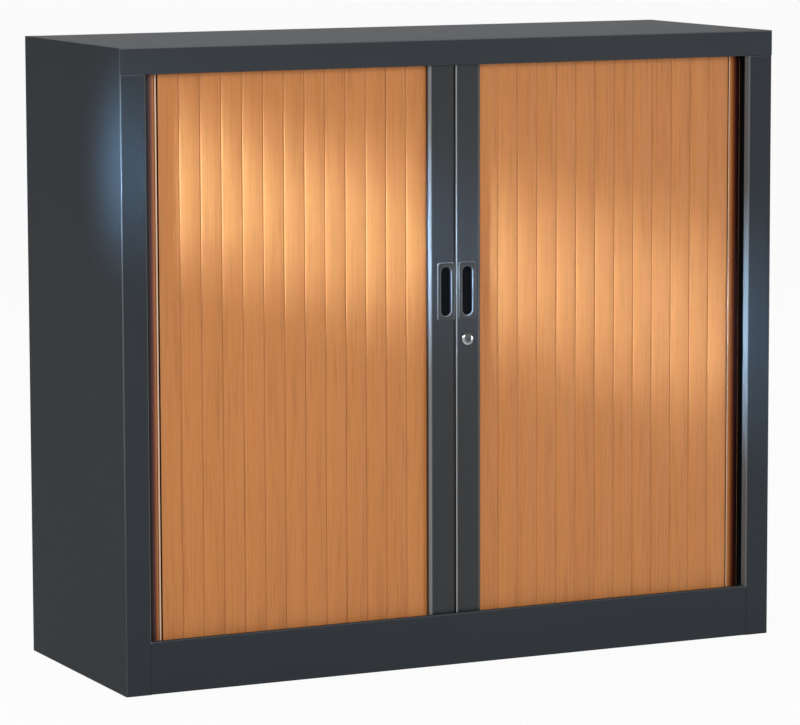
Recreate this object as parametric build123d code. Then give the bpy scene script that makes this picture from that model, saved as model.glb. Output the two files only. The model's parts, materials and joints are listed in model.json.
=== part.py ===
from build123d import *
import math
import os

# Side-opening tambour cabinet. Millimetres, +Z up, X along the front, the front faces -Y.
# The origin is at the middle of the footprint, on the floor.

# Carcass
width = 1200.0
depth = 430.0
height = 1050.0
sheet = 1.2
bend_radius = 2.0
jamb_width = 44.0
jamb_return = 16.0
rail_height = 43.0
rail_lip = 10.0
plinth_height = 87.0
plinth_lip = 8.0
plinth_foot_lip = 16.0
rear_return = 20.0
lid_seam = 0.3
panel_play = 0.3

# Decks that carry the tracks, and the raised floor between the liners
deck_below_plinth = 27.0
deck_flange = 22.0
ceiling_above_rail = 15.0
floor_below_plinth = 2.0

# Leading posts
meeting_gap = 1.5
post_width = 47.5
fitting_inset = 21.5
left_grip_inset = 16.6
post_setback = 12.0
post_wall = 1.6
post_corner = 1.2
post_round = 6.0
open_gap = 6.25

# Curtain slats
slat_count = 13
slat_overlap = 3.0
slat_thickness = 1.2
slat_crown = 0.8
slat_tongue = 0.9
slat_tongue_play = 0.5
slat_shoulder = 3.5
slat_far_edge = 2.5
slat_step = 2.4
slat_setback = 10.0
slat_post_play = 0.25
slat_foot_play = 0.3
slat_head_play = 1.0
post_slat_play = 0.5

# Curtain tail, which turns the corner behind the jamb
tail_count = 4
tail_gap = 2.0
tail_play = 0.6
corner_radius = 37.0
corner_behind_jamb = 27.3
tail_end_play = 6.0

# Tracks
track_plate = 3.0
track_lip = 9.0
track_lip_wall = 2.0
track_lip_play = 1.5
track_side_gap = 1.6
track_rear_play = 2.5
stack_play = 3.0

# Post shoes and end stops
shoe_plug = 20.0
shoe_play = 0.3
shoe_inset = 3.0
shoe_leg = 1.8
shoe_height_play = 0.5
stop_length = 8.0
stop_depth = 3.8
stop_height = 7.0

# Grips
grip_centre_height = 630.0
grip_width = 32.0
grip_length = 97.0
grip_bezel = 1.5
grip_corner = 4.0
grip_edge = 0.6
slot_width = 22.0
slot_length = 85.0
cup_wall = 1.5
cup_depth = 8.5
cup_play = 0.2

# Cylinder lock
grip_to_lock = 21.5
plug_radius = 6.0
plug_play = 0.08
plug_recess = 0.6
barrel_wall = 3.42
barrel_length = 5.8
barrel_play = 0.2
lock_flange_rim = 1.5
lock_flange = 4.0
lock_flange_round = 1.2
key_slot_width = 1.4
key_slot_margin = 2.0
key_slot_depth = 4.0
cam_gap = 0.4
cam_thickness = 2.0
cam_width = 10.0
cam_engagement = 3.3
cam_pin_radius = 3.0
cam_pin_play = 0.05
cam_eye_rim = 3.0
cam_rivet_rim = 1.5
cam_rivet_head = 1.6
lock_nut_rim = 2.5
lock_nut_thickness = 3.5
lock_slot_play = 1.5
strike_wall = 2.0
strike_margin = 8.0
strike_play = 0.1

# Liners, shelves and clips
liner_gap = 1.0
liner_fold = 12.0
slot_rows_inset = 45.0
slot_pitch = 32.0
first_slot = 60.0
slot_play = 0.5
shelf_slot_numbers = (9, 18)
shelf_play = 1.0
shelf_fold = 25.0
shelf_front_play = 4.0
shelf_edge = 0.9
clip_thickness = 2.0
clip_width = 20.0
clip_ledge = 12.0
clip_leg = 14.0
clip_play = 0.3

# Feet
gusset_size = 80.0
gusset_thickness = 3.0
foot_radius = 19.0
foot_pad = 6.0
foot_edge = 1.8
stud_radius = 4.0
stud_play = 0.3
stud_top_play = 6.0
foot_inset = 44.0
foot_nut_rim = 2.5
foot_nut_thickness = 6.5

# Track screws
screws_per_run = 3
screw_radius = 2.0
screw_play = 0.2
screw_head_radius = 3.5
screw_head = 2.0
screw_edge = 8.0
rear_screw_inset = 90.0
side_screw_inset = 40.0

# Places worked out from the sizes above
cutter = 1.0
half_width = width / 2
front = -depth / 2
rear = depth / 2
inner_side = half_width - sheet
inner_front = front + sheet
inner_rear = rear - sheet
bend_room = bend_radius - sheet + panel_play
back_panel_front = inner_rear - sheet
jamb_edge = half_width - jamb_width
rail_bottom = height - rail_height
deck_top = plinth_height - deck_below_plinth
floor_height = plinth_height - floor_below_plinth
ceiling = rail_bottom + ceiling_above_rail

post_inner = meeting_gap / 2
post_outer = post_inner + post_width
fitting_axis = post_inner + fitting_inset
left_grip_axis = post_inner + left_grip_inset
post_front = front + post_setback
post_travel = jamb_edge - open_gap - post_outer
slat_front = post_front + slat_setback
post_rear = slat_front + slat_step - post_slat_play

corner_x = jamb_edge - corner_behind_jamb
corner_y = slat_front + corner_radius
side_run = corner_x + corner_radius

slat_field = post_outer + slat_post_play
curtain_end = corner_x - tail_gap
slat_pitch = (curtain_end - slat_field) / slat_count
slat_width = slat_pitch + slat_overlap
slat_bottom = deck_top + track_plate + slat_foot_play
slat_top = ceiling - track_plate - slat_head_play
slat_slope = slat_step / slat_pitch
stack_rear = slat_front + (slat_count - 1) * slat_step + slat_slope * slat_width + slat_thickness

lip_rear = slat_front - track_lip_play
lip_front = lip_rear - track_lip_wall
run_rear = stack_rear + stack_play + track_lip_wall
side_run_inner = corner_x - track_side_gap
side_lip_inner = side_run + track_side_gap
side_lip_outer = side_lip_inner + track_lip_wall
track_rear = back_panel_front - track_rear_play
liner_outer = side_run_inner - liner_gap
liner_inner = liner_outer - sheet
liner_front = run_rear + liner_gap

barrel_radius = plug_radius + plug_play + barrel_wall
barrel_front = post_front - lock_flange
lock_head_radius = barrel_radius + lock_flange_rim
lock_height = grip_centre_height - grip_length / 2 - grip_to_lock - lock_head_radius
cam_front = post_front + barrel_length + cam_gap
cam_rear = cam_front + cam_thickness
cam_reach = fitting_axis + post_inner + post_wall + strike_play + strike_wall + cam_engagement
clip_levels = [deck_top + first_slot + number * slot_pitch for number in shelf_slot_numbers]


def block(xs, ys, zs):
    """A box given by its two limits along each axis."""
    size = [high - low for low, high in (xs, ys, zs)]
    middle = [(high + low) / 2 for low, high in (xs, ys, zs)]
    return Pos(*middle) * Box(*size)


def folded(points, plane, length, radius=bend_radius):
    """Sheet metal whose outer face follows the points, with the metal on their left."""
    outer = FilletPolyline(*points, radius=radius)
    outline = offset(outer, amount=sheet, side=Side.LEFT, closed=True)
    return extrude(plane * make_face(outline.edges()), amount=length)


def outline_prism(points, zs):
    """A straight-edged outline drawn in XY and raised between two heights."""
    face = make_face(Polyline(*points, close=True))
    return extrude(Plane.XY.offset(zs[0]) * face, amount=zs[1] - zs[0])


def mirrored(shape):
    """The same piece on the other side of the cabinet."""
    return mirror(shape, about=Plane.YZ)


def flipped(shape):
    """The same piece hung from the ceiling instead of standing on the deck."""
    return mirror(shape, about=Plane.XY.offset((deck_top + ceiling) / 2))


def right_side_panel():
    """Side, front jamb with its return, and rear return; the lid's rail covers its top front."""
    path = [
        (jamb_edge, front + jamb_return),
        (jamb_edge, front),
        (half_width, front),
        (half_width, rear),
        (half_width - rear_return, rear),
    ]
    panel = folded(path, Plane.XY, height)
    zs = (rail_bottom, height + cutter)
    behind_rail = block((jamb_edge - cutter, inner_side), (front - cutter, 0), zs)
    rail_edge = block((jamb_edge - cutter, half_width + cutter), (front - cutter, inner_front), zs)
    return panel - behind_rail - rail_edge


def top_panel():
    """Lid with the front rail, its lip and a rear flange; it drops between the side panels."""
    path = [
        (rear, height - rear_return),
        (rear, height),
        (front, height),
        (front, rail_bottom),
        (front + rail_lip, rail_bottom),
    ]
    lid = folded(path, Plane.YZ.offset(-half_width), width)
    seam_x = inner_side - lid_seam
    flange_x = half_width - rear_return - lid_seam
    for side in (-1, 1):
        beside = sorted((side * seam_x, side * (half_width + cutter)))
        lid -= block(beside, (inner_front, rear + cutter), (0, height + cutter))
        corner = sorted((side * flange_x, side * (half_width + cutter)))
        lid -= block(corner, (back_panel_front, rear + cutter), (0, height + cutter))
    return lid


def plinth():
    """Front skirt between the jambs, with a lip above and a foot below."""
    path = [
        (front + plinth_lip, plinth_height),
        (front, plinth_height),
        (front, 0),
        (front + plinth_foot_lip, 0),
    ]
    return folded(path, Plane.YZ.offset(-jamb_edge), 2 * jamb_edge)


def back_panel():
    """Flat sheet held between the side panels' rear returns."""
    half = inner_side - bend_room
    return block((-half, half), (back_panel_front, inner_rear), (panel_play, height - sheet - bend_room))


def base_deck():
    """Tray behind the plinth that carries the bottom tracks; notched round the jamb returns."""
    path = [
        (back_panel_front, deck_top - deck_flange),
        (back_panel_front, deck_top),
        (inner_front, deck_top),
        (inner_front, deck_top - deck_flange),
    ]
    return folded(path, Plane.YZ.offset(-inner_side), 2 * inner_side) - jamb_notches()


def jamb_notches():
    """Room for both jamb returns through the whole height."""
    notches = []
    for side in (-1, 1):
        xs = sorted((side * (jamb_edge - panel_play), side * half_width))
        notches.append(block(xs, (front, front + jamb_return + panel_play), (0, rail_bottom)))
    return Compound(children=notches)


def top_deck():
    """Ceiling under the lid that carries the top tracks."""
    path = [
        (inner_front, height - sheet - bend_room),
        (inner_front, ceiling),
        (back_panel_front, ceiling),
        (back_panel_front, height - sheet - bend_room),
    ]
    return folded(path, Plane.YZ.offset(-inner_side), 2 * inner_side)


def floor_tray():
    """Raised floor between the liners, folded down at its front and sides."""
    half = liner_inner - bend_room
    ys = (liner_front + sheet + panel_play, back_panel_front - panel_play)
    tray = block((-half, half), ys, (deck_top, floor_height))
    hollow_ys = (ys[0] + sheet, ys[1] + cutter)
    return tray - block((sheet - half, half - sheet), hollow_ys, (deck_top - cutter, floor_height - sheet))


def right_liner():
    """Inner wall with a front fold and two rows of slots for the shelf clips."""
    path = [
        (liner_outer - liner_fold, liner_front),
        (liner_outer, liner_front),
        (liner_outer, back_panel_front - panel_play),
    ]
    liner = folded(path, Plane.XY.offset(deck_top), ceiling - deck_top)
    rows = int((ceiling - deck_top - 2 * first_slot) / slot_pitch) + 1
    half_slot = clip_width / 2 + slot_play
    half_slot_height = clip_thickness / 2 + slot_play
    for y in clip_rows():
        for row in range(rows):
            z = deck_top + first_slot + row * slot_pitch
            zs = (z - half_slot_height, z + half_slot_height)
            liner -= block((liner_inner - cutter, liner_outer + cutter), (y - half_slot, y + half_slot), zs)
    return liner


def clip_rows():
    """Depths of the two slot rows."""
    return (liner_front + slot_rows_inset, back_panel_front - slot_rows_inset)


def right_clips():
    """Clips that hook through the right liner's slots and carry the shelf edges."""
    clips = []
    for level in clip_levels:
        for y in clip_rows():
            ys = (y - clip_width / 2, y + clip_width / 2)
            top = level + clip_thickness / 2
            ledge = block((liner_inner - clip_ledge, liner_outer + sheet), ys, (top - clip_thickness, top))
            leg_x = (liner_inner - clip_play - clip_thickness, liner_inner - clip_play)
            leg = block(leg_x, ys, (top - clip_leg, top))
            clips.append(ledge + leg)
    return clips


def shelf(level):
    """Steel shelf with down-turned edges that rests on four clips."""
    half = liner_inner - shelf_play
    ys = (liner_front + sheet + shelf_front_play, back_panel_front - shelf_play)
    bottom = level + clip_thickness / 2
    top = bottom + shelf_fold
    body = block((-half, half), ys, (bottom, top))
    inside_ys = (ys[0] + sheet, ys[1] - sheet)
    inside = block((sheet - half, half - sheet), inside_ys, (bottom - cutter, top - sheet))
    edges = body.edges().filter_by(Axis.X).group_by(Axis.Y)[0].group_by(Axis.Z)[-1]
    return fillet(edges, shelf_edge) - inside


def bottom_right_track():
    """Plate notched round the jamb that turns back along the side, with a front rail and rear lips."""
    plate_top = deck_top + track_plate
    plate_front = lip_front - shoe_leg - 2 * shoe_play - stop_depth
    plate_inner = side_run_inner - liner_gap / 2
    outer = inner_side - panel_play
    notch_inner = jamb_edge - panel_play
    notch_rear = front + jamb_return + panel_play
    outline = [
        (post_inner, plate_front),
        (notch_inner, plate_front),
        (notch_inner, notch_rear),
        (outer, notch_rear),
        (outer, track_rear),
        (plate_inner, track_rear),
        (plate_inner, run_rear),
        (post_inner, run_rear),
    ]
    lip_zs = (plate_top, plate_top + track_lip)
    track = outline_prism(outline, (deck_top, plate_top))
    track += block((post_inner, outer), (lip_front, lip_rear), lip_zs)
    track += block((post_inner, plate_inner), (run_rear - track_lip_wall, run_rear), lip_zs)
    track += block((side_lip_inner, side_lip_outer), (run_rear, track_rear), lip_zs)
    for x, y in screw_places():
        track -= Pos(x, y, deck_top) * Cylinder(screw_radius + screw_play, 4 * track_plate)
    return track


def spread(low, high, count):
    """Evenly spaced places from one limit to the other, both included."""
    return [low + (high - low) * step / (count - 1) for step in range(count)]


def screw_places():
    """Centres of one track's screws, clear of everything that runs on it."""
    run_y = run_rear - track_lip_wall - screw_edge
    side_x = (side_lip_outer + inner_side) / 2
    run_xs = spread(post_inner + rear_screw_inset, side_run_inner - rear_screw_inset, screws_per_run)
    side_ys = spread(run_rear + side_screw_inset, track_rear - side_screw_inset, screws_per_run)
    return [(x, run_y) for x in run_xs] + [(side_x, y) for y in side_ys]


def right_bottom_screws():
    """Pan-head screws that hold one track down on its deck."""
    screws = []
    for x, y in screw_places():
        head_z = deck_top + track_plate
        shank_z = deck_top + lid_seam
        head = Pos(x, y, head_z + screw_head / 2) * Cylinder(screw_head_radius, screw_head)
        shank = Pos(x, y, (head_z + shank_z) / 2) * Cylinder(screw_radius, head_z - shank_z)
        screws.append(fillet(head.edges().group_by(Axis.Z)[-1], screw_head / 2) + shank)
    return screws


def right_bottom_stop():
    """Rubber block on the track that ends the post's travel."""
    shoe_outer = post_outer - shoe_inset + post_travel
    xs = (shoe_outer + shoe_play, shoe_outer + shoe_play + stop_length)
    ys = (lip_front - shoe_play / 2 - stop_depth, lip_front - shoe_play / 2)
    plate_top = deck_top + track_plate
    return block(xs, ys, (plate_top, plate_top + stop_height))


def slat(index):
    """One slat of the right curtain: the first starts behind the post, the others in a tongue."""
    tongue_front = slat_thickness - slat_tongue if index else 0
    tongue_end = slat_overlap + slat_tongue_play
    profile = [
        (0, tongue_front),
        (tongue_end, tongue_front),
        (tongue_end + slat_shoulder, -slat_crown),
        (slat_width - slat_far_edge, -slat_crown),
        (slat_width, 0),
        (slat_width, slat_thickness),
        (0, slat_thickness),
    ]
    inner_x = slat_field + index * slat_pitch - slat_overlap
    points = []
    for along, back in profile:
        points.append((inner_x + along, slat_front + slat_slope * (slat_width - along) + back))
    return outline_prism(points, (slat_bottom, slat_top))


def slat_between(start, end):
    """Convex slat whose outer face runs between two points in plan, crowned towards the outside."""
    run = (end[0] - start[0], end[1] - start[1])
    length = math.hypot(*run)
    out = (run[1] / length, -run[0] / length)
    middle = ((start[0] + end[0]) / 2 + out[0] * slat_crown, (start[1] + end[1]) / 2 + out[1] * slat_crown)
    inward = (-out[0] * slat_thickness, -out[1] * slat_thickness)
    points = [(p[0] + inward[0], p[1] + inward[1]) for p in (end, middle, start)]
    outline = [
        ThreePointArc(start, middle, end),
        Line(end, points[0]),
        ThreePointArc(*points),
        Line(points[2], start),
    ]
    face = Plane.XY.offset(slat_bottom) * make_face(outline)
    return extrude(face, amount=slat_top - slat_bottom)


def tail_stations():
    """Plan points where the tail's slats meet: round the corner, then back along the side."""
    chord_angle = 2 * math.asin(slat_pitch / 2 / corner_radius)
    turned_x = corner_x + corner_radius * math.sin(chord_angle)
    turned_y = corner_y - corner_radius * math.cos(chord_angle)
    stations = [(corner_x, slat_front), (turned_x, turned_y)]
    back = math.sqrt(slat_pitch**2 - (side_run - turned_x) ** 2)
    stations.append((side_run, turned_y + back))
    while len(stations) <= tail_count:
        stations.append((side_run, stations[-1][1] + slat_pitch))
    return stations


def right_tail():
    """The hidden end of the right curtain, one solid for each slat."""
    stations = tail_stations()
    slats = []
    for start, end in zip(stations, stations[1:]):
        length = math.dist(start, end)
        share = tail_play / length
        along = (end[0] - start[0], end[1] - start[1])
        short_end = (end[0] - along[0] * share, end[1] - along[1] * share)
        slats.append(slat_between(start, short_end))
    return slats


def tail_travel():
    """How far the tail can run back before its end meets the rear of the track."""
    return track_rear - tail_end_play - tail_stations()[-1][1]


def post_bar(inset, zs):
    """Upright bar inside the right post's outline by an inset, with a broad round on its outer front edge."""
    bar = block((post_inner + inset, post_outer - inset), (post_front + inset, post_rear - inset), zs)
    front_edges = bar.edges().filter_by(Axis.Z).group_by(Axis.Y)[0]
    return fillet(front_edges.sort_by(Axis.X)[-1], post_round - inset)


def post_shell():
    """Hollow right post, rounded at its edges, open at both ends."""
    zs = post_heights()
    body = post_bar(0, zs)
    uprights = body.edges().filter_by(Axis.Z)
    body = fillet(uprights.group_by(Axis.X)[0] + uprights.group_by(Axis.Y)[-1].sort_by(Axis.X)[-1:], post_corner)
    return body - post_bar(post_wall, (zs[0] - cutter, zs[1] + cutter))


def post_heights():
    """Ends of the posts, just clear of the track lips."""
    reach = track_plate + track_lip + shoe_height_play
    return (deck_top + reach, ceiling - reach)


def grip_slot(axis, margin, ys):
    """Upright slot with round ends about a grip's centre, larger than the finger slot by a margin all round."""
    outline = SlotOverall(slot_length + 2 * margin, slot_width + 2 * margin, rotation=90)
    face = Plane.XZ.offset(-ys[0]) * Pos(axis, grip_centre_height) * outline
    return extrude(face, amount=ys[0] - ys[1])


def lock_slot():
    """Slot in a post's meeting wall, tall enough for the tongue to swing in."""
    reach_in = fitting_axis - post_inner - post_wall
    drop = math.sqrt(cam_reach**2 - reach_in**2) + cam_width / 2
    zs = (lock_height - drop - lock_slot_play, lock_height + cam_width / 2 + lock_slot_play)
    return (cam_front - lock_slot_play, cam_rear + lock_slot_play), zs


def plain_post(grip_axis):
    """What both posts share: the shell, the grip's opening and the slot for the lock's tongue."""
    ys, zs = lock_slot()
    tongue_way = block((post_inner - cutter, post_inner + post_wall + cutter), ys, zs)
    grip_way = grip_slot(grip_axis, cup_wall + cup_play, (post_front - cutter, post_front + post_wall + cutter))
    return post_shell() - tongue_way - grip_way


def right_post():
    """Right post, with the lock's hole."""
    barrel_way = on_lock_axis(barrel_radius + barrel_play, (post_front - cutter, post_front + 2 * post_wall))
    return plain_post(fitting_axis) - barrel_way


def left_post():
    """Left post, whose meeting wall receives the lock's tongue."""
    return mirrored(plain_post(left_grip_axis))


def grip(axis):
    """Bezel and finger cup, moulded in one piece."""
    bezel = block(
        (axis - grip_width / 2, axis + grip_width / 2),
        (post_front - grip_bezel, post_front),
        (grip_centre_height - grip_length / 2, grip_centre_height + grip_length / 2),
    )
    bezel = fillet(bezel.edges().filter_by(Axis.Y), grip_corner)
    bezel = fillet(bezel.faces().sort_by(Axis.Y)[0].edges(), grip_edge)
    cup = grip_slot(axis, cup_wall, (post_front - grip_bezel / 2, post_front + cup_depth + cup_wall))
    hollow = grip_slot(axis, 0, (post_front - grip_bezel - cutter, post_front + cup_depth))
    return bezel + cup - hollow


def right_bottom_shoe():
    """Slide shoe plugged into the post's end, straddling the track's front rail."""
    bottom, _ = post_heights()
    inset = post_wall + shoe_play / 2
    plug = post_bar(inset, (bottom - shoe_play, bottom + shoe_plug))
    xs = (post_inner + shoe_inset, post_outer - shoe_inset)
    rail_top = deck_top + track_plate + track_lip + shoe_play / 2
    foot_zs = (deck_top + track_plate + shoe_play, rail_top)
    bridge = block(xs, (lip_front - shoe_leg - shoe_play, post_rear), (rail_top, bottom))
    front_leg = block(xs, (lip_front - shoe_leg - shoe_play, lip_front - shoe_play), foot_zs)
    rear_leg = block(xs, (lip_rear + shoe_play, post_rear), foot_zs)
    return plug + bridge + front_leg + rear_leg


def on_lock_axis(radius, ys):
    """Cylinder about the lock's axis between two depths."""
    middle = (ys[0] + ys[1]) / 2
    return Pos(fitting_axis, middle, lock_height) * Rot(90, 0, 0) * Cylinder(radius, ys[1] - ys[0])


def lock_barrel():
    """Fixed barrel with its flange on the post's face, bored for the plug."""
    flange = on_lock_axis(lock_head_radius, (barrel_front, post_front))
    flange = fillet(flange.edges().group_by(Axis.Y)[0], lock_flange_round)
    body = on_lock_axis(barrel_radius, (post_front - lock_flange / 2, post_front + barrel_length))
    bore_ys = (barrel_front - cutter, post_front + barrel_length + cutter)
    return flange + body - on_lock_axis(plug_radius + plug_play, bore_ys)


def lock_plug():
    """Turning plug with a key slot in front and a headed pin behind that holds the cam."""
    face = barrel_front + plug_recess
    plug = on_lock_axis(plug_radius, (face, cam_front))
    plug += on_lock_axis(cam_pin_radius, (cam_front - cutter, cam_rear + cam_rivet_head))
    plug += on_lock_axis(cam_pin_radius + cam_rivet_rim, (cam_rear, cam_rear + cam_rivet_head))
    key_reach = plug_radius - key_slot_margin
    key_slot = block(
        (fitting_axis - key_slot_width / 2, fitting_axis + key_slot_width / 2),
        (face - cutter, face + key_slot_depth),
        (lock_height - key_reach, lock_height + key_reach),
    )
    return plug - key_slot


def lock_cam():
    """Tongue that hangs straight down when unlocked and swings sideways into the left post."""
    ys = (cam_front, cam_rear)
    cam = on_lock_axis(cam_pin_radius + cam_eye_rim, ys)
    tip_z = lock_height - cam_reach + cam_width / 2
    cam += block((fitting_axis - cam_width / 2, fitting_axis + cam_width / 2), ys, (tip_z, lock_height))
    cam += Pos(0, 0, tip_z - lock_height) * on_lock_axis(cam_width / 2, ys)
    return cam - on_lock_axis(cam_pin_radius + cam_pin_play, (cam_front - cutter, cam_rear + cutter))


def hexagon_ring(hole_radius, rim):
    """Flat nut outline: a hexagon outside a round hole, with its wall measured across the flats."""
    return RegularPolygon(hole_radius + rim, 6, major_radius=False) - Circle(hole_radius)


def lock_nut():
    """Flat hexagon nut that clamps the barrel from inside the post."""
    ring = hexagon_ring(barrel_radius + plug_play, lock_nut_rim)
    placed = Plane.XZ.offset(-post_front - post_wall) * Pos(fitting_axis, lock_height) * ring
    return extrude(placed, amount=-lock_nut_thickness)


def lock_strike():
    """Steel plate behind the left post's slot that takes the tongue."""
    ys, zs = lock_slot()
    inner = post_inner + post_wall + strike_play
    outer = inner + strike_wall
    plate_ys = (post_front + post_wall + strike_play, post_rear - post_wall - strike_play)
    plate = block((inner, outer), plate_ys, (zs[0] - strike_margin, zs[1] + strike_margin))
    return mirrored(plate - block((inner - cutter, outer + cutter), ys, zs))


def foot_places():
    """Centres of the levelling feet, set in from the two corners of each side."""
    x = inner_side - foot_inset
    rear_y = back_panel_front - foot_inset
    front_y = front + jamb_return + panel_play + foot_inset
    return [(x, front_y), (x, rear_y), (-x, front_y), (-x, rear_y)]


def corner_gussets():
    """Plates in the base corners, under the deck's flanges, that take the feet."""
    top = deck_top - deck_flange
    xs = (inner_side - gusset_size, inner_side)
    front_edge = front + jamb_return + panel_play
    plates = []
    for ys in ((front_edge, front_edge + gusset_size), (back_panel_front - gusset_size, back_panel_front)):
        plate = block(xs, ys, (top - gusset_thickness, top))
        for x, y in foot_places():
            plate -= Pos(x, y, top) * Cylinder(stud_radius + stud_play, 4 * gusset_thickness)
        plates += [plate, mirrored(plate)]
    return plates


def levelling_feet():
    """Pad and stud of each foot, wound fully in so that the plinth meets the floor too."""
    feet = []
    stud_top = deck_top - sheet - stud_top_play
    for x, y in foot_places():
        pad = Pos(x, y, foot_pad / 2) * Cylinder(foot_radius, foot_pad)
        pad = fillet(pad.edges().group_by(Axis.Z)[-1], foot_edge)
        stud = Pos(x, y, (foot_pad / 2 + stud_top) / 2) * Cylinder(stud_radius, stud_top - foot_pad / 2)
        feet.append(pad + stud)
    return feet


def foot_nuts():
    """Lock nuts under the gussets."""
    bottom = deck_top - deck_flange - gusset_thickness - foot_nut_thickness
    ring = hexagon_ring(stud_radius + stud_play / 2, foot_nut_rim)
    start = Plane.XY.offset(bottom)
    return [extrude(start * Pos(x, y) * ring, amount=foot_nut_thickness) for x, y in foot_places()]


def write(name, *shapes):
    """One STEP file per named piece; a group is a compound of separate solids."""
    solids = [solid for shape in shapes for solid in shape.solids()]
    whole = solids[0] if len(solids) == 1 else Compound(children=solids)
    export_step(whole, f"parts/{name}.step")


def write_carcass():
    side = right_side_panel()
    liner = right_liner()
    clips = right_clips()
    write("right_side_panel", side)
    write("left_side_panel", mirrored(side))
    write("top_panel", top_panel())
    write("plinth", plinth())
    write("back_panel", back_panel())
    write("base_deck", base_deck())
    write("top_deck", top_deck())
    write("floor_tray", floor_tray())
    write("right_liner", liner)
    write("left_liner", mirrored(liner))
    write("shelf_clips", *clips, *[mirrored(clip) for clip in clips])
    for number, level in enumerate(clip_levels, start=1):
        write(f"shelf_{number}", shelf(level))
    write("corner_gussets", *corner_gussets())
    write("levelling_feet", *levelling_feet(), *foot_nuts())


def write_tracks():
    track = bottom_right_track()
    write("bottom_right_track", track)
    write("bottom_left_track", mirrored(track))
    write("top_right_track", flipped(track))
    write("top_left_track", mirrored(flipped(track)))
    screws = right_bottom_screws()
    screws += [mirrored(screw) for screw in screws]
    write("track_screws", *screws, *[flipped(screw) for screw in screws])
    stops = [right_bottom_stop(), mirrored(right_bottom_stop())]
    write("end_stops", *stops, *[flipped(stop) for stop in stops])


def write_posts():
    shoe = right_bottom_shoe()
    write("right_post", right_post())
    write("left_post", left_post())
    write("right_grip", grip(fitting_axis))
    write("left_grip", mirrored(grip(left_grip_axis)))
    write("right_shoes", shoe, flipped(shoe))
    write("left_shoes", mirrored(shoe), mirrored(flipped(shoe)))
    write("lock_barrel", lock_barrel())
    write("lock_plug", lock_plug())
    write("lock_cam", lock_cam())
    write("lock_nut", lock_nut())
    write("lock_strike", lock_strike())


def write_curtains():
    for index in range(slat_count):
        piece = slat(index)
        write(f"right_slat_{index + 1:02d}", piece)
        write(f"left_slat_{index + 1:02d}", mirrored(piece))
    tail = right_tail()
    write("right_tail", *tail)
    write("left_tail", *[mirrored(piece) for piece in tail])


os.makedirs("parts", exist_ok=True)
write_carcass()
write_tracks()
write_posts()
write_curtains()
print("post travel", round(post_travel, 3), "tail travel", round(tail_travel(), 3))
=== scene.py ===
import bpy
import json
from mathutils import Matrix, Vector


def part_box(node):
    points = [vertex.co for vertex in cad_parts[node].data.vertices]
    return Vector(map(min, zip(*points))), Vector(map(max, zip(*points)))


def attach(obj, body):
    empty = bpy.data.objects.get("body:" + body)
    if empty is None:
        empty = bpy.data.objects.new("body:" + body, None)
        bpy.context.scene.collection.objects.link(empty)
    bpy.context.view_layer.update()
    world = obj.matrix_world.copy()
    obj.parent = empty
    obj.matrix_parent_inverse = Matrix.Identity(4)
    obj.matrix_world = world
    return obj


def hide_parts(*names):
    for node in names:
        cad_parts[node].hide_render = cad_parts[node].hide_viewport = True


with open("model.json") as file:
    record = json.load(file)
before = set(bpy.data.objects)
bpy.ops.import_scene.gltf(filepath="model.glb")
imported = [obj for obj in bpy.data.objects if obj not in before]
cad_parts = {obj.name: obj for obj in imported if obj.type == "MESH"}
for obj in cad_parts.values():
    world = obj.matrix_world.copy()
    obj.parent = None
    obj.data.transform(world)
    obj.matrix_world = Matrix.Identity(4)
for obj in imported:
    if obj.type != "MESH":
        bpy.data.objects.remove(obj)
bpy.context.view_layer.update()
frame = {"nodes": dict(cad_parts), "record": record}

import json
import math

import bmesh
import bpy
from mathutils import Euler, Vector

nodes = frame["nodes"]
sides = {"right": 1, "left": -1}        # name, and which way along X
print("frame loaded:", len(nodes), "nodes")


view = {
    "imageSize": (800, 725),
    "focalPixels": 4119.7,
    "centrePixel": (423.4, 334.2),      # where the lens axis meets the image
    "place": (-3.0213, -6.3148, 1.409),
    "turn": (82.883, 0.126, -25.873),
    "sensorWidth": 36,                  # millimetres
    "farthest": 200,
}


def makeCamera():
    data = bpy.data.cameras.new("camera")
    wide, high = view["imageSize"]
    data.sensor_width = view["sensorWidth"]
    data.lens = view["focalPixels"] / wide * data.sensor_width
    data.shift_x = (wide / 2 - view["centrePixel"][0]) / wide
    data.shift_y = (view["centrePixel"][1] - high / 2) / wide
    data.clip_end = view["farthest"]
    camera = bpy.data.objects.new("camera", data)
    camera.location = view["place"]
    camera.rotation_euler = Euler([math.radians(angle) for angle in view["turn"]], "XYZ")
    bpy.context.collection.objects.link(camera)
    bpy.context.scene.camera = camera
    bpy.context.scene.view_settings.view_transform = "Standard"


makeCamera()
print("camera ready")


room = {
    "floorReach": 60.0,
    "floorColor": (0.70, 0.70, 0.70),
    "floorGlow": 0.95,                  # how much of the floor is plain white to the eye
    "worldLight": 0.23,
}

lamps = {
    # name: place, aimed at, width, height, watts, spread in degrees, colour
    "frontSoft": ((-1.9, -5.3, 2.2), (0.0, -0.2, 0.45), 3.2, 2.4, 203, 180, (1.0, 0.99, 0.97)),
    "lowRight": ((2.7, -3.0, 0.35), (0.62, -0.2, 0.2), 1.0, 0.5, 5, 90, (0.97, 0.985, 1.0)),
    "backSoft": ((2.2, 4.6, 2.0), (0.0, 0.0, 0.9), 3.0, 1.6, 9, 180, (1.0, 1.0, 1.0)),
    "topSoft": ((-0.4, 0.5, 3.4), (0.0, 0.0, 1.0), 2.4, 2.4, 46, 180, (1.0, 1.0, 1.0)),
    # narrow beam that lays a cool slanting band over the curtains
    "coolBand": ((-2.251, -1.062, 1.41), (0.014, -0.238, 0.69), 0.56, 0.155, 1.26, 8, (0.69, 1.13, 1.58)),
    "edgeStrip": ((-2.85, -1.25, 0.75), (0.0, -0.2, 0.62), 0.24, 1.15, 7, 180, (0.97, 0.99, 1.0)),
}


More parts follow.
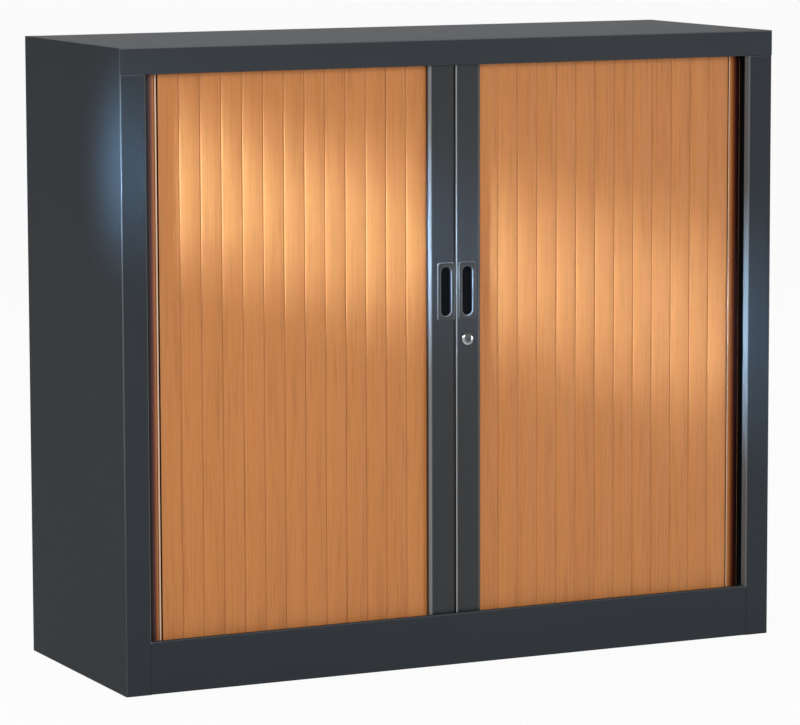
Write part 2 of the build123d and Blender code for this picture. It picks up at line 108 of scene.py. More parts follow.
def newTree(owner):
    owner.use_nodes = True
    tree = owner.node_tree
    tree.nodes.clear()
    return tree


def addNode(tree, kind, inputs=None, **settings):
    node = tree.nodes.new(kind)
    for key, value in settings.items():
        setattr(node, key, value)
    for key, value in (inputs or {}).items():
        if isinstance(value, bpy.types.NodeSocket):
            tree.links.new(value, node.inputs[key])
        else:
            node.inputs[key].default_value = value
    return node


def calc(tree, operation, *values):
    return addNode(tree, "ShaderNodeMath", dict(enumerate(values)), operation=operation).outputs[0]


# value going from start to end becomes low to high, and stays there outside
def mapped(tree, value, start, end, low=0.0, high=1.0):
    node = addNode(tree, "ShaderNodeMapRange", {
        "Value": value, "From Min": start, "From Max": end, "To Min": low, "To Max": high})
    return node.outputs["Result"]


# 1 for the eye and what it sees in a mirror or through glass, 0 for the light that the floor gives
def seenDirectly(tree):
    path = addNode(tree, "ShaderNodeLightPath").outputs
    first = calc(tree, "MAXIMUM", path["Is Camera Ray"], path["Is Glossy Ray"])
    return calc(tree, "MAXIMUM", first, path["Is Transmission Ray"])


def makeRoom():
    world = bpy.data.worlds.new("studio")
    bpy.context.scene.world = world
    tree = newTree(world)
    soft = addNode(tree, "ShaderNodeBackground", {"Color": (1, 1, 1, 1), "Strength": room["worldLight"]})
    addNode(tree, "ShaderNodeOutputWorld", {"Surface": soft.outputs[0]})

    reach = room["floorReach"]
    corners = [(-reach, -reach, 0), (reach, -reach, 0), (reach, reach, 0), (-reach, reach, 0)]
    mesh = bpy.data.meshes.new("floor")
    mesh.from_pydata(corners, [], [(0, 1, 2, 3)])
    floor = bpy.data.objects.new("floor", mesh)
    bpy.context.collection.objects.link(floor)
    material = bpy.data.materials.new("paleFloor")
    tree = newTree(material)
    matt = addNode(tree, "ShaderNodeBsdfDiffuse", {"Color": (*room["floorColor"], 1)})
    glow = addNode(tree, "ShaderNodeEmission", {"Color": (1, 1, 1, 1), "Strength": 1.0})
    amount = calc(tree, "MULTIPLY", seenDirectly(tree), room["floorGlow"])
    mix = addNode(tree, "ShaderNodeMixShader", {0: amount, 1: matt.outputs[0], 2: glow.outputs[0]})
    addNode(tree, "ShaderNodeOutputMaterial", {"Surface": mix.outputs[0]})
    mesh.materials.append(material)


def makeLamps():
    for name, (place, aim, wide, high, watts, spreadAngle, color) in lamps.items():
        data = bpy.data.lights.new(name, "AREA")
        data.shape = "RECTANGLE"
        data.size = wide
        data.size_y = high
        data.energy = watts
        data.spread = math.radians(spreadAngle)
        data.color = color
        lamp = bpy.data.objects.new(name, data)
        lamp.location = place
        lamp.rotation_euler = (Vector(aim) - Vector(place)).to_track_quat("-Z", "Y").to_euler()
        lamp.visible_camera = False
        bpy.context.collection.objects.link(lamp)


makeRoom()
makeLamps()
print("room and lamps ready")


# noise in the part's own coordinates; a larger grain is finer, and it may differ along the axes
def grained(tree, grain, detail, roughness=0.55, distortion=0.0):
    scale = grain if isinstance(grain, tuple) else (grain, grain, grain)
    spot = addNode(tree, "ShaderNodeTexCoord").outputs["Object"]
    stretch = addNode(tree, "ShaderNodeMapping", {"Vector": spot, "Scale": scale})
    noise = addNode(tree, "ShaderNodeTexNoise", {
        "Vector": stretch.outputs[0], "Scale": 1.0, "Detail": detail, "Roughness": roughness,
        "Distortion": distortion})
    return noise.outputs["Fac"]


# most of a noise lies between 0.3 and 0.7
def spread(tree, noise, low, high):
    return mapped(tree, noise, 0.3, 0.7, low, high)


def ramp(tree, factor, stops):
    node = addNode(tree, "ShaderNodeValToRGB", {"Fac": factor})
    band = node.color_ramp
    while len(band.elements) < len(stops):
        band.elements.new(0.5)
    for element, (place, color) in zip(band.elements, stops):
        element.position = place
        element.color = (*color, 1)
    return node.outputs["Color"]


def blend(tree, amount, first, second, mode="MIX"):
    node = addNode(tree, "ShaderNodeMix", data_type="RGBA", blend_type=mode)
    for index, value in ((0, amount), (6, first), (7, second)):
        if isinstance(value, bpy.types.NodeSocket):
            tree.links.new(value, node.inputs[index])
        else:
            node.inputs[index].default_value = value if index == 0 else (*value, 1)
    return node.outputs[2]


def bumped(tree, height, strength, distance, normal=None):
    node = addNode(tree, "ShaderNodeBump", {"Height": height, "Strength": strength, "Distance": distance})
    if normal:
        tree.links.new(normal, node.inputs["Normal"])
    return node.outputs["Normal"]


# coordinates in the part's frame, in metres
def placeInPart(tree):
    spot = addNode(tree, "ShaderNodeTexCoord").outputs["Object"]
    return addNode(tree, "ShaderNodeSeparateXYZ", {"Vector": spot}).outputs


def scaled(color, share):
    return tuple(channel * share for channel in color)


# painted highlight on bends, weaker or none where light from the upper left would not fall
bendHighlightShape = {
    "turned": (0.06, 0.42),             # how far a bend has turned where the mask starts and where it is full
    "rightward": (0.05, 0.35, 0.3),     # from, to: bends facing right keep only this share of the painted highlight
    "downward": (-0.3, -0.05),          # from, to: bends facing down have none of the painted highlight
}


# 0 on flat faces and 1 in the middle of a bend, and the normal with sharp edges rounded; the mask lays a
# painted highlight on bends
def bendHighlightMask(tree, radius):
    normal = addNode(tree, "ShaderNodeBevel", {"Radius": radius}, samples=6).outputs["Normal"]
    axes = addNode(tree, "ShaderNodeSeparateXYZ", {"Vector": normal}).outputs
    products = [calc(tree, "ABSOLUTE", calc(tree, "MULTIPLY", axes[first], axes[second]))
                for first, second in ("XY", "YZ", "XZ")]
    total = calc(tree, "ADD", calc(tree, "ADD", products[0], products[1]), products[2])
    mask = mapped(tree, total, *bendHighlightShape["turned"])
    start, end, share = bendHighlightShape["rightward"]
    side = mapped(tree, axes["X"], start, end, 1.0, share)
    under = mapped(tree, axes["Z"], *bendHighlightShape["downward"])
    return calc(tree, "MULTIPLY", mask, calc(tree, "MULTIPLY", side, under)), normal


# painted highlight on the bends round the opening and along the jamb's edge
openingEdge = {
    "seam": (0.575, 0.0845),            # half width and height inside which bends stay plain
    "fade": (0.10, 0.65, 0.35),         # painted highlight on bends grows from the first height to the second, from this share on
    "rim": 0.556,                       # edge of the opening, from the middle, where a painted highlight runs
    "rimHalfWidth": (0.0008, 0.0016),   # of its full tone, and of where the tone ends
    "rimBack": -0.15,                   # only in front of this
    "rimHighlight": (0.15, 0.155, 0.158),
}

meetingShadeAndHighlight = [
    # from, to, colour: painted shade in the gap where the left post ends, and a painted highlight where the
    # right post starts
    (-0.0040, 0.0012, (0.0012, 0.0012, 0.0016)),
    (0.0012, 0.0036, (0.25, 0.255, 0.26)),
]

# each coat's bend colour is a painted highlight on its bends
coatFinish = {
    "carcass": {"color": (0.0300, 0.0355, 0.0415), "roughness": 0.44, "specular": 0.03,
                "paintedBendHighlight": (0.120, 0.129, 0.140), "opening": openingEdge},
    "lid": {"color": (0.0300, 0.0355, 0.0415), "roughness": 0.44, "specular": 0.09,
            "paintedBendHighlight": (0.095, 0.102, 0.110)},
    "inner": {"color": (0.022, 0.027, 0.031), "roughness": 0.5, "specular": 0.32,
              "paintedBendHighlight": (0.045, 0.050, 0.054)},
    "post": {"color": (0.0175, 0.0198, 0.0228), "roughness": 0.34, "specular": 0.30,
             "paintedBendHighlight": (0.175, 0.180, 0.185), "meeting": meetingShadeAndHighlight},
}

coatGrain = {
    "cloud": 2.5,
    "cloudShade": 0.04,                 # how much lighter and darker the clouds are
    "speck": 1300,
    "speckMost": 0.16,
    "speckGain": 1.9,                   # how much lighter a speck is than the coat
    "rub": 60,
    "rubChange": 0.02,
    "peel": 420,
    "peelStrength": 0.12,
    "peelDepth": 0.00015,
    "bendRadius": 0.0018,
}


# satin powder coat with a fine orange peel, a painted highlight on its bends and the opening's rim, and
# painted shade and highlight where the posts meet
def powderCoat(tree, color, roughness, specular, paintedBendHighlight, opening=None, meeting=()):
    grain = coatGrain
    darker, lighter = scaled(color, 1 - grain["cloudShade"]), scaled(color, 1 + grain["cloudShade"])
    tint = ramp(tree, grained(tree, grain["cloud"], 2), [(0.35, darker), (0.65, lighter)])
    speck = spread(tree, grained(tree, grain["speck"], 2), 0.0, grain["speckMost"])
    tint = blend(tree, speck, tint, scaled(color, grain["speckGain"]))
    change = grain["rubChange"]
    rubbed = spread(tree, grained(tree, grain["rub"], 3), roughness - change, roughness + change)
    mask, bend = bendHighlightMask(tree, grain["bendRadius"])
    place = placeInPart(tree)
    if opening:
        across = calc(tree, "ABSOLUTE", place["X"])
        beside = calc(tree, "GREATER_THAN", across, opening["seam"][0])
        above = calc(tree, "GREATER_THAN", place["Z"], opening["seam"][1])
        free = calc(tree, "MAXIMUM", beside, above)
        low, high, share = opening["fade"]
        faded = mapped(tree, place["Z"], low, high, share, 1.0)
        mask = calc(tree, "MULTIPLY", calc(tree, "MULTIPLY", mask, free), faded)
    tint = blend(tree, mask, tint, paintedBendHighlight)
    # painted highlight along the opening's edge
    if opening:
        away = calc(tree, "ABSOLUTE", calc(tree, "SUBTRACT", across, opening["rim"]))
        near = mapped(tree, away, *opening["rimHalfWidth"], 1.0, 0.0)
        front = calc(tree, "LESS_THAN", place["Y"], opening["rimBack"])
        rim = calc(tree, "MULTIPLY", calc(tree, "MULTIPLY", near, free), front)
        tint = blend(tree, rim, tint, opening["rimHighlight"])
    # painted shade in the gap between the posts, and a painted highlight on the right post's edge
    for start, end, paintedTone in meeting:
        past = calc(tree, "GREATER_THAN", place["X"], start)
        short = calc(tree, "LESS_THAN", place["X"], end)
        tint = blend(tree, calc(tree, "MULTIPLY", past, short), tint, paintedTone)
    peel = grained(tree, grain["peel"], 2)
    return {"Base Color": tint, "Roughness": rubbed, "Specular IOR Level": specular,
            "Normal": bumped(tree, peel, grain["peelStrength"], grain["peelDepth"], bend)}


woodFinish = {
    "deep": (0.418, 0.155, 0.040),
    "main": (0.505, 0.195, 0.051),
    "light": (0.560, 0.236, 0.066),
    "rosy": (0.524, 0.183, 0.059),
    "streakColor": (0.80, 0.76, 0.70),
    "poreColor": (0.70, 0.64, 0.58),
    "roughness": (0.50, 0.41),          # in the streaks and beside them
    "specular": 0.34,
}

woodGrain = {
    # every grain is drawn out along Z
    "broad": (38, 38, 1.1),
    "streak": (310, 310, 7.5),
    "pores": (1500, 1500, 34),
    "warm": (120, 120, 16),
    "evenness": 0.62,                   # how far the broad figure is pulled to the main colour
    "warmMost": 0.5,
    "streakShare": 0.75,
    "poreShare": 0.6,
    "streakStrength": 0.12,
    "streakDepth": 0.0004,
    "washShare": 0.8,
}

cornerFinish = {
    # painted shade: where the foil starts to darken behind the jamb and where it ends, from the middle
    "left": {"shade": (0.5325, 0.5440)},
    "right": {"shade": (0.5370, 0.5610)},
    # a pale wash on the corner bead, a painted highlight
    "bead": {"wash": (0.78, 0.54, 0.38)},
}

cornerShade = [
    # painted shade behind the jamb: share of the way, and what is left of the foil's colour there
    (0.0, (0.9, 0.85, 0.8)),
    (0.25, (0.5, 0.36, 0.3)),
    (0.5, (0.14, 0.07, 0.25)),
    (0.8, (0.02, 0.02, 0.1)),
]


def woodFoil(tree, shade=None, wash=None):
    foil, grain, white = woodFinish, woodGrain, (1, 1, 1)
    broad = grained(tree, grain["broad"], 3, 0.5, 0.35)
    streak = grained(tree, grain["streak"], 4, 0.6, 0.2)
    tint = ramp(tree, broad, [(0.30, foil["deep"]), (0.48, foil["main"]), (0.70, foil["light"])])
    tint = blend(tree, grain["evenness"], tint, foil["main"])
    warm = spread(tree, grained(tree, grain["warm"], 2, 0.5), 0.0, grain["warmMost"])
    tint = blend(tree, warm, tint, foil["rosy"])
    lines = ramp(tree, streak, [(0.34, foil["streakColor"]), (0.50, white)])
    tint = blend(tree, grain["streakShare"], tint, lines, "MULTIPLY")
    dots = ramp(tree, grained(tree, grain["pores"], 2, 0.5), [(0.30, foil["poreColor"]), (0.38, white)])
    tint = blend(tree, grain["poreShare"], tint, dots, "MULTIPLY")
    # a pale wash over the foil, the bead's painted highlight
    if wash:
        tint = blend(tree, grain["washShare"], tint, wash)
    # painted shade where the tail turns behind the jamb
    if shade:
        across = calc(tree, "ABSOLUTE", placeInPart(tree)["X"])
        dark = ramp(tree, mapped(tree, across, *shade), cornerShade)
        tint = blend(tree, 1.0, tint, dark, "MULTIPLY")
    return {"Base Color": tint, "Roughness": spread(tree, streak, *foil["roughness"]),
            "Specular IOR Level": foil["specular"],
            "Normal": bumped(tree, streak, grain["streakStrength"], grain["streakDepth"])}


plasticFinish = {
    "grip": {"color": (0.0075, 0.0082, 0.0092), "roughness": 0.27, "grain": 2200, "depth": 0.00004,
             "paintedBendHighlight": (0.17, 0.175, 0.18)},
    # the cup's near black is painted shade deep in the finger cup
    "cup": {"color": (0.0045, 0.0055, 0.0075), "roughness": 0.8, "grain": 1200, "depth": 0.0001,
            "specular": 0.04},
    "track": {"color": (0.014, 0.014, 0.015), "roughness": 0.5, "grain": 1500, "depth": 0.0001},
    "stop": {"color": (0.012, 0.012, 0.012), "roughness": 0.8, "grain": 900, "depth": 0.0002},
}

plasticGrain = {
    "speckGain": 1.5,                   # how much lighter the specks are
    "roughChange": 0.05,
    "strength": 0.3,
    "bendRadius": 0.0005,
}


# moulded plastic; its bend colour is a painted highlight on the rims
def mouldedPlastic(tree, color, roughness, grain, depth, paintedBendHighlight=None, specular=0.5):
    speck = grained(tree, grain, 2)
    tint = ramp(tree, speck, [(0.3, color), (0.7, scaled(color, plasticGrain["speckGain"]))])
    if paintedBendHighlight:
        tint = blend(tree, bendHighlightMask(tree, plasticGrain["bendRadius"])[0], tint, paintedBendHighlight)
    change = plasticGrain["roughChange"]
    return {"Base Color": tint, "Roughness": spread(tree, speck, roughness - change, roughness + change),
            "Specular IOR Level": specular, "Normal": bumped(tree, speck, plasticGrain["strength"], depth)}


metalFinish = {
    "zinc": {"color": (0.55, 0.56, 0.58), "roughness": 0.34, "scratch": (500, 500, 500)},
    "lock": {"color": (0.36, 0.365, 0.38), "roughness": 0.13, "scratch": (900, 900, 140)},
    "plug": {"color": (0.12, 0.12, 0.125), "roughness": 0.22, "scratch": (140, 900, 900)},
}

metalGrain = {
    "cloud": 180,
    "cloudShade": 0.86,                 # what is left of the colour in a dull cloud
    "smoother": 0.05,
    "rougher": 0.08,
    "strength": 0.12,
    "depth": 0.0001,
}


def platedMetal(tree, color, roughness, scratch):
    grain = metalGrain
    lines = grained(tree, scratch, 2)
    cloud = grained(tree, grain["cloud"], 3)
    tint = ramp(tree, cloud, [(0.3, scaled(color, grain["cloudShade"])), (0.7, color)])
    rubbed = spread(tree, lines, roughness - grain["smoother"], roughness + grain["rougher"])
    return {"Base Color": tint, "Metallic": 1.0, "Roughness": rubbed,
            "Normal": bumped(tree, lines, grain["strength"], grain["depth"])}


def shadedMaterial(name, build, look):
    material = bpy.data.materials.new(name)
    tree = newTree(material)
    shader = addNode(tree, "ShaderNodeBsdfPrincipled", build(tree, **look))
    addNode(tree, "ShaderNodeOutputMaterial", {"Surface": shader.outputs[0]})
    return material


finishes = {
    "anthracite_steel": shadedMaterial("anthraciteCoat", powderCoat, coatFinish["carcass"]),
    "inner_steel": shadedMaterial("innerCoat", powderCoat, coatFinish["inner"]),
    "anthracite_post": shadedMaterial("postCoat", powderCoat, coatFinish["post"]),
    "wood_grain_slat": shadedMaterial("woodGrainFoil", woodFoil, {}),
    "grip_plastic": shadedMaterial("gripPlastic", mouldedPlastic, plasticFinish["grip"]),
    "track_plastic": shadedMaterial("trackPlastic", mouldedPlastic, plasticFinish["track"]),
    "stop_rubber": shadedMaterial("stopRubber", mouldedPlastic, plasticFinish["stop"]),
    "zinc_steel": shadedMaterial("zincPlate", platedMetal, metalFinish["zinc"]),
    "lock_chrome": shadedMaterial("lockChrome", platedMetal, metalFinish["lock"]),
}
# the corner foils carry painted shade where the tail turns behind the jamb
cornerShadedFoils = {side: shadedMaterial(f"{side}CornerShadedFoil", woodFoil, cornerFinish[side]) for side in sides}
beadHighlightFoil = shadedMaterial("beadHighlightFoil", woodFoil, cornerFinish["bead"])
cupShade = shadedMaterial("cupPaintedShade", mouldedPlastic, plasticFinish["cup"])
ownFinish = {
    "lock_plug": shadedMaterial("plugNickel", platedMetal, metalFinish["plug"]),
    "top_panel": shadedMaterial("lidCoat", powderCoat, coatFinish["lid"]),
}


# each node has its slot's finish, or its own
def finishNodes():
    for part in frame["record"]["subparts"]:
        materials = nodes[part["node"]].data.materials
        materials.clear()
        materials.append(ownFinish.get(part["node"], finishes[part["material_slot"]]))


finishNodes()
print("finishes ready:", len(finishes))


def placePiece(name, mesh, material, body):
    mesh.materials.append(material)
    piece = bpy.data.objects.new(name, mesh)
    bpy.context.collection.objects.link(piece)
    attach(piece, body)
    return piece


# upright prism; lean is the shading normal's angle in plan at each outline point, or None for the shape's own
def prismMesh(name, outline, low, high, lean=None, sharpAngle=32):
    count = len(outline)
    points = [(x, y, low) for x, y in outline] + [(x, y, high) for x, y in outline]
    faces = [(i, (i + 1) % count, count + (i + 1) % count, count + i) for i in range(count)]
    faces += [tuple(reversed(range(count))), tuple(range(count, 2 * count))]
    mesh = bpy.data.meshes.new(name)
    mesh.from_pydata(points, [], faces)
    area = sum(x0 * y1 - x1 * y0 for (x0, y0), (x1, y1) in zip(outline, outline[1:] + outline[:1]))
    if area < 0:
        mesh.flip_normals()
    mesh.shade_smooth()
    mesh.set_sharp_from_angle(angle=math.radians(sharpAngle))
    if lean:
        normals = [(0.0, 0.0, 0.0)] * len(mesh.loops)
        for face in mesh.polygons[:count]:
            angles = [lean[mesh.loops[i].vertex_index % count] for i in face.loop_indices]
            if None in angles:
                continue
            for i, angle in zip(face.loop_indices, angles):
                normals[i] = (math.sin(angle), -math.cos(angle), 0.0)
        mesh.normals_split_custom_set(normals)
    return mesh


firstSlat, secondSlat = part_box("right_slat_02"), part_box("right_slat_03")

slatSizes = {
    "count": 13,
    "width": firstSlat[1].x - firstSlat[0].x,
    "pitch": secondSlat[0].x - firstSlat[0].x,
    "lap": 0.0027,              # how much of the near edge lies behind the neighbour
    "edgeRound": 0.0028,        # width of the rounded strip along each edge
    "lapDepth": 0.00095,        # depths are from the plane that the nodes' far edges touch
    "nearDepth": 0.00050,
    "farDepth": 0.00030,
    "backDepth": 0.00064,
    "step": 0.0024,             # how much deeper a node's slat gets towards its near edge over one pitch
    "crown": 0.0008,            # how far a node's face stands out at its crest
    "crest": 0.0025,            # where that is, from its far edge
    "faceLean": 8.0,            # degrees that the face turns away at its sides
    "edgeLean": 36.0,
    "edgeSteps": 6,
    "faceSteps": 8,
}
slatSlope = slatSizes["step"] / slatSizes["pitch"]


# points from the near edge to the far edge, and the lean of the face at each in degrees
def slatOutline():
    sizes = slatSizes
    edgeRound, nearDepth = sizes["edgeRound"], sizes["nearDepth"]
    nearEnd = sizes["lap"] + edgeRound
    farStart = sizes["width"] - edgeRound
    turn = sizes["edgeLean"] - sizes["faceLean"]
    points, leans = [(0.0, sizes["lapDepth"])], [None]
    for i in range(sizes["edgeSteps"] + 1):
        share = i / sizes["edgeSteps"]
        points.append((sizes["lap"] + edgeRound * share,
                       nearDepth + (sizes["lapDepth"] - nearDepth) * (1 - share) ** 2))
        leans.append(-sizes["edgeLean"] + turn * share)
    for i in range(1, sizes["faceSteps"] + 1):
        share = i / sizes["faceSteps"]
        points.append((nearEnd + (farStart - nearEnd) * share, nearDepth * (1 - share)))
        leans.append(sizes["faceLean"] * (2 * share - 1))
    for i in range(1, sizes["edgeSteps"] + 1):
        share = i / sizes["edgeSteps"]
        points.append((farStart + edgeRound * share, sizes["farDepth"] * share * share))
        leans.append(sizes["faceLean"] + turn * share)
    points += [(sizes["width"], sizes["backDepth"]), (0.0, sizes["backDepth"] + slatSlope * sizes["width"])]
    leans += [None, None]
    return points, leans


# the plane that the nodes' far edges touch
def curtainFront(side):
    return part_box(f"{side}_slat_02")[0].y + slatSizes["crown"] - slatSlope * slatSizes["crest"]


def makeCurtain(side, sign):
    front = curtainFront(side)
    points, leans = slatOutline()
    lean = [None if angle is None else sign * math.radians(angle) for angle in leans]
    for number in range(1, slatSizes["count"] + 1):
        name = f"{side}_slat_{number:02d}"
        low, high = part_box(name)
        inner = low.x if sign > 0 else -high.x
        outline = [(sign * (inner + along), front + depth) for along, depth in points]
        mesh = prismMesh(f"{side}Slat{number:02d}", outline, low.z, high.z, lean)
        body = f"{side}_post" if number == 1 else name
        piece = placePiece(mesh.name, mesh, finishes["wood_grain_slat"], body)
        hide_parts(name)


tailSizes = {
    "cornerX": 0.5287,
    "cornerRadius": 0.037,
    "slats": 4,
    "play": 0.0006,
    "thickness": 0.0011,
    "faceSteps": 24,
    "beadFrom": 0.0010,
    "beadWidth": 0.0028,
    "beadProud": 0.0004,
    "beadDepth": 0.0006,
    "beadSteps": 8,
    "firstStart": 0.0048,       # the first slat begins behind the bead and a dark joint
}


# plan points where the tail's slats meet
def tailStations(front):
    radius, pitch = tailSizes["cornerRadius"], slatSizes["pitch"]
    chord = 2 * math.asin(pitch / 2 / radius)
    turnedX = tailSizes["cornerX"] + radius * math.sin(chord)
    turnedY = front + radius * (1 - math.cos(chord))
    sideX = tailSizes["cornerX"] + radius
    sideY = turnedY + math.sqrt(pitch ** 2 - (sideX - turnedX) ** 2)
    stations = [(tailSizes["cornerX"], front), (turnedX, turnedY), (sideX, sideY)]
    while len(stations) <= tailSizes["slats"]:
        stations.append((sideX, stations[-1][1] + pitch))
    return stations


# outline of a strip in plan; face holds points (along, depth) on a line from start, and back the ends behind
def stripOutline(sign, start, direction, face, back):
    alongX, alongY = direction
    points = face + [(along, tailSizes["thickness"]) for along in back]
    return [(sign * (start[0] + alongX * along - alongY * depth), start[1] + alongY * along + alongX * depth)
            for along, depth in points]


# edge bead where the curtain turns the corner, washed pale as a painted highlight
def makeBead(side, sign, start, direction):
    sizes = tailSizes
    low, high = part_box(f"{side}_tail")
    face = []
    for i in range(sizes["beadSteps"] + 1):
        angle = math.pi * i / sizes["beadSteps"]
        face.append((sizes["beadFrom"] + sizes["beadWidth"] * (1 - math.cos(angle)) / 2,
                     sizes["beadDepth"] - sizes["beadProud"] * math.sin(angle)))
    back = (sizes["beadFrom"] + sizes["beadWidth"], sizes["beadFrom"])
    outline = stripOutline(sign, start, direction, face, back)
    mesh = prismMesh(f"{side}CornerBead", outline, low.z, high.z)
    return placePiece(mesh.name, mesh, beadHighlightFoil, f"{side}_tail")


def makeTail(side, sign):
    sizes, slat = tailSizes, slatSizes
    low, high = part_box(f"{side}_tail")
    stations = tailStations(curtainFront(side))
    pieces = []
    for number, (start, end) in enumerate(zip(stations, stations[1:]), 1):
        runX, runY = end[0] - start[0], end[1] - start[1]
        length = math.hypot(runX, runY)
        alongX, alongY = runX / length, runY / length
        turn = math.degrees(math.atan2(runY, runX))
        if number == 1:
            pieces.append(makeBead(side, sign, start, (alongX, alongY)))
            start = (start[0] + alongX * sizes["firstStart"], start[1] + alongY * sizes["firstStart"])
            length -= sizes["firstStart"]
        length -= sizes["play"]
        face, lean = [], []
        for i in range(sizes["faceSteps"] + 1):
            share = 2 * i / sizes["faceSteps"] - 1
            edge = max(abs(share) * length / 2 - (length / 2 - slat["edgeRound"]), 0.0) / slat["edgeRound"]
            face.append((length * (share + 1) / 2, slat["farDepth"] * edge ** 2))
            angle = turn + slat["faceLean"] * share + (slat["edgeLean"] - slat["faceLean"]) * edge * share
            lean.append(sign * math.radians(angle))
        lean += [None, None]
        outline = stripOutline(sign, start, (alongX, alongY), face, (length, 0.0))
        mesh = prismMesh(f"{side}TailSlat{number}", outline, low.z, high.z, lean)
        foil = cornerShadedFoils[side] if number == 1 else finishes["wood_grain_slat"]
        pieces.append(placePiece(mesh.name, mesh, foil, f"{side}_tail"))
    for piece in pieces:
        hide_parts(f"{side}_tail")


for side, sign in sides.items():
    makeCurtain(side, sign)
    makeTail(side, sign)
print("curtains ready")


# skin over loops of one length; closed joins the last loop to the first, and otherwise both ends are capped
def loopMesh(name, loops, centre, sharpAngle, closed=False):
    count = len(loops[0])
    points = [(x + centre[0], y + centre[1], z + centre[2]) for loop in loops for x, y, z in loop]
    faces = []
    for ring in range(len(loops) if closed else len(loops) - 1):
        one, two = ring * count, (ring + 1) % len(loops) * count
        faces += [(one + i, one + (i + 1) % count, two + (i + 1) % count, two + i) for i in range(count)]
    if not closed:
        faces += [tuple(reversed(range(count))), tuple(range(len(points) - count, len(points)))]
    mesh = bpy.data.meshes.new(name)
    mesh.from_pydata(points, [], faces)
    work = bmesh.new()
    work.from_mesh(mesh)
    bmesh.ops.recalc_face_normals(work, faces=work.faces)
    work.to_mesh(mesh)
    work.free()
    mesh.shade_smooth()
    mesh.set_sharp_from_angle(angle=math.radians(sharpAngle))
    return mesh


gripSizes = {
    "bezel": (0.032, 0.097, 0.004),     # width, height, corner radius
    "slot": (0.0182, 0.0812, 0.0091),
    "proud": 0.0015,
    "outerRound": 0.0011,
    "outerSteps": 5,
    "slotRound": 0.0019,
    "slotSteps": 7,
    "cupDepth": 0.0085,
    "cupWall": 0.0013,
    "cupBack": 0.0011,                  # thickness of the cup's closed end
    "cupCorner": ((0.0, 0.0015), (0.0006, 0.0004), (0.0018, 0.0)),      # inset, height over that end
    "cornerSteps": 14,
    "leastRadius": 0.0002,
    "darkFrom": -0.0003,                # where the cup's painted shade starts, from its straight wall's start
    "darkMargin": 0.0001,
    "sharpAngle": 40,
}


# rounded rectangle grown by a margin, with the same number of points for any size
def roundedLoop(size, grow, y):
    steps = gripSizes["cornerSteps"]
    wide, high = size[0] / 2 + grow, size[1] / 2 + grow
    radius = max(size[2] + grow, gripSizes["leastRadius"])
    loop = []
    for cornerX, cornerZ, start in ((1, 1, 0), (-1, 1, 90), (-1, -1, 180), (1, -1, 270)):
        for i in range(steps + 1):
            angle = math.radians(start + 90 * i / steps)
            loop.append((cornerX * (wide - radius) + radius * math.cos(angle), y,
                         cornerZ * (high - radius) + radius * math.sin(angle)))
    return loop


# bezel rolled over at its outer edge and down into the finger cup, with the cup's back closed
def makeGrip(side):
    sizes = gripSizes
    bezel, slot, proud = sizes["bezel"], sizes["slot"], sizes["proud"]
    outerRound, slotRound = sizes["outerRound"], sizes["slotRound"]
    low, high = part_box(f"{side}_grip")
    back = low.y + proud
    centre = ((low.x + high.x) / 2, back, (low.z + high.z) / 2)
    loops = [roundedLoop(slot, sizes["cupWall"], sizes["cupDepth"] + sizes["cupBack"]),
             roundedLoop(slot, sizes["cupWall"], 0.0),
             roundedLoop(bezel, 0.0, 0.0)]
    for i in range(sizes["outerSteps"] + 1):
        angle = math.radians(90 * i / sizes["outerSteps"])
        loops.append(roundedLoop(bezel, -outerRound * (1 - math.cos(angle)),
                                 -(proud - outerRound) - outerRound * math.sin(angle)))
    for i in range(sizes["slotSteps"] + 1):
        angle = math.radians(90 * i / sizes["slotSteps"])
        loops.append(roundedLoop(slot, slotRound * (1 - math.sin(angle)),
                                 -proud + slotRound * (1 - math.cos(angle))))
    for inset, rise in sizes["cupCorner"]:
        loops.append(roundedLoop(slot, -inset, sizes["cupDepth"] - rise))
    mesh = loopMesh(f"{side}GripBezel", loops, centre, sizes["sharpAngle"])
    piece = placePiece(mesh.name, mesh, finishes["grip_plastic"], f"{side}_post")
    # faces deep in the finger cup take the painted shade
    mesh.materials.append(cupShade)
    darkFrom = back + slotRound - proud + sizes["darkFrom"]
    darkReach = slot[0] / 2 + sizes["darkMargin"]
    for face in mesh.polygons:
        corners = [mesh.vertices[i].co for i in face.vertices]
        inSlot = all(abs(corner.x - centre[0]) < darkReach for corner in corners)
        if inSlot and min(corner.y for corner in corners) > darkFrom:
            face.material_index = 1
    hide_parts(f"{side}_grip")


lockSizes = {
    "reach": 0.011,                     # radius of the ring where it meets the post
    "lipRadius": 0.0066,
    "proud": 0.0040,
    "domeStart": 0.0013,
    "domePower": 1.15,                  # above 1 draws the dome's flank in
    "domeSteps": 10,
    "boreRadius": 0.00612,
    "lipWidth": 0.0001,                 # between the lip's inner edge and the bore
    "lipFall": (0.0004, 0.0010),        # how far that edge and the bore's mouth lie behind the lip
    "edgeBand": 0.0004,                 # narrow band along an edge that keeps its shading crisp
    "threadRadius": 0.0094,
    "threadDepth": 0.0004,
    "threadSteps": 9,
    "endPlay": 0.0001,
    "turns": 72,
    "sharpAngle": 38,
}


def ringLoop(radius, y):
    angles = [math.tau * i / lockSizes["turns"] for i in range(lockSizes["turns"])]
    return [(radius * math.cos(angle), y, radius * math.sin(angle)) for angle in angles]


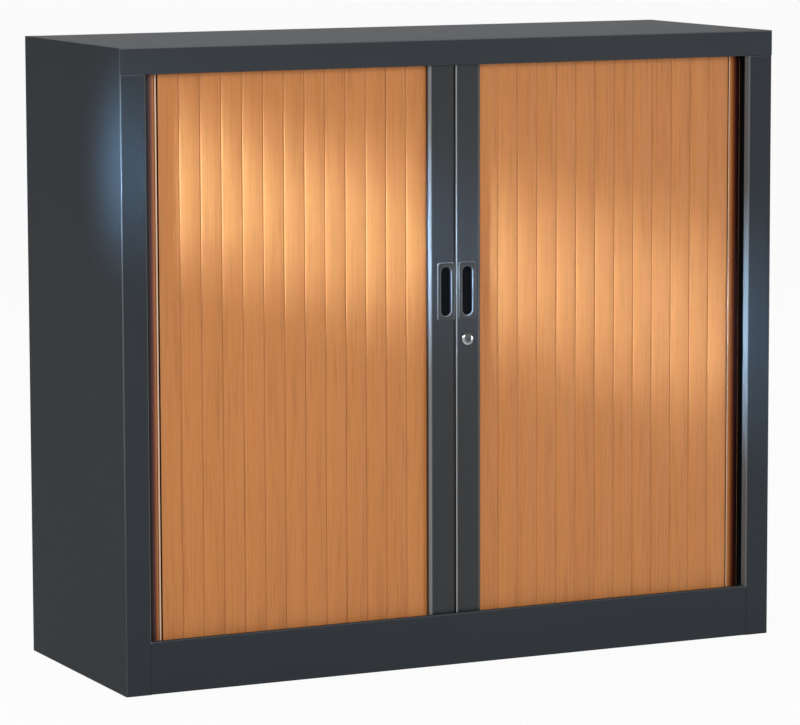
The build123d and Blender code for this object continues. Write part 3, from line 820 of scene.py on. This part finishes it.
# domed rosette round the key plug, with its threaded body behind
def makeLockRing():
    sizes = lockSizes
    low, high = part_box("lock_barrel")
    proud, reach, dome = sizes["proud"], sizes["reach"], sizes["domeStart"]
    bore, lip, thread = sizes["boreRadius"], sizes["lipRadius"], sizes["threadRadius"]
    back = low.y + proud
    depth = high.y - back
    centre = ((low.x + high.x) / 2, back, (low.z + high.z) / 2)
    profile = [(bore, depth - sizes["endPlay"]), (thread, depth - sizes["endPlay"])]
    for i in range(1, sizes["threadSteps"]):
        profile.append((thread - sizes["threadDepth"] * (i % 2), depth * (1 - i / sizes["threadSteps"])))
    profile += [(thread, 0.0), (reach, 0.0), (reach, -dome + sizes["edgeBand"])]
    for i in range(sizes["domeSteps"] + 1):
        angle = math.radians(90 * i / sizes["domeSteps"])
        profile.append((lip + (reach - lip) * math.cos(angle) ** sizes["domePower"],
                        -dome - (proud - dome) * math.sin(angle)))
    edgeFall, mouthFall = sizes["lipFall"]
    profile += [(bore + sizes["lipWidth"], -proud + edgeFall), (bore, -proud + mouthFall),
                (bore, depth - sizes["edgeBand"])]
    loops = [ringLoop(radius, y) for radius, y in profile]
    mesh = loopMesh("lockRosette", loops, centre, sizes["sharpAngle"], closed=True)
    piece = placePiece(mesh.name, mesh, finishes["lock_chrome"], "right_post")
    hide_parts("lock_barrel")


weldSizes = {
    "plinthHeight": 0.087,
    "underTop": 0.0004,                 # how far below that height the weld ends
    "fill": 0.0020,                     # width and depth of the bend that the weld fills flush
    "hollow": (0.3, 0.4),               # where its back is hollowed, as shares of the fill
}


# welds ground flush where the plinth meets each jamb
def makeWeld(side, sign):
    fill, (hollowX, hollowY) = weldSizes["fill"], weldSizes["hollow"]
    low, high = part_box("plinth")
    edge = high.x if sign > 0 else -low.x
    outline = [(sign * edge, low.y), (sign * (edge + fill), low.y),
               (sign * (edge + fill * hollowX), low.y + fill * hollowY), (sign * edge, low.y + fill)]
    top = low.z + weldSizes["plinthHeight"] - weldSizes["underTop"]
    mesh = prismMesh(f"{side}PlinthWeld", outline, low.z, top)
    placePiece(mesh.name, mesh, finishes["anthracite_steel"], "carcass")


for side, sign in sides.items():
    makeGrip(side)
    makeWeld(side, sign)
makeLockRing()
print("grips, welds and lock ready")
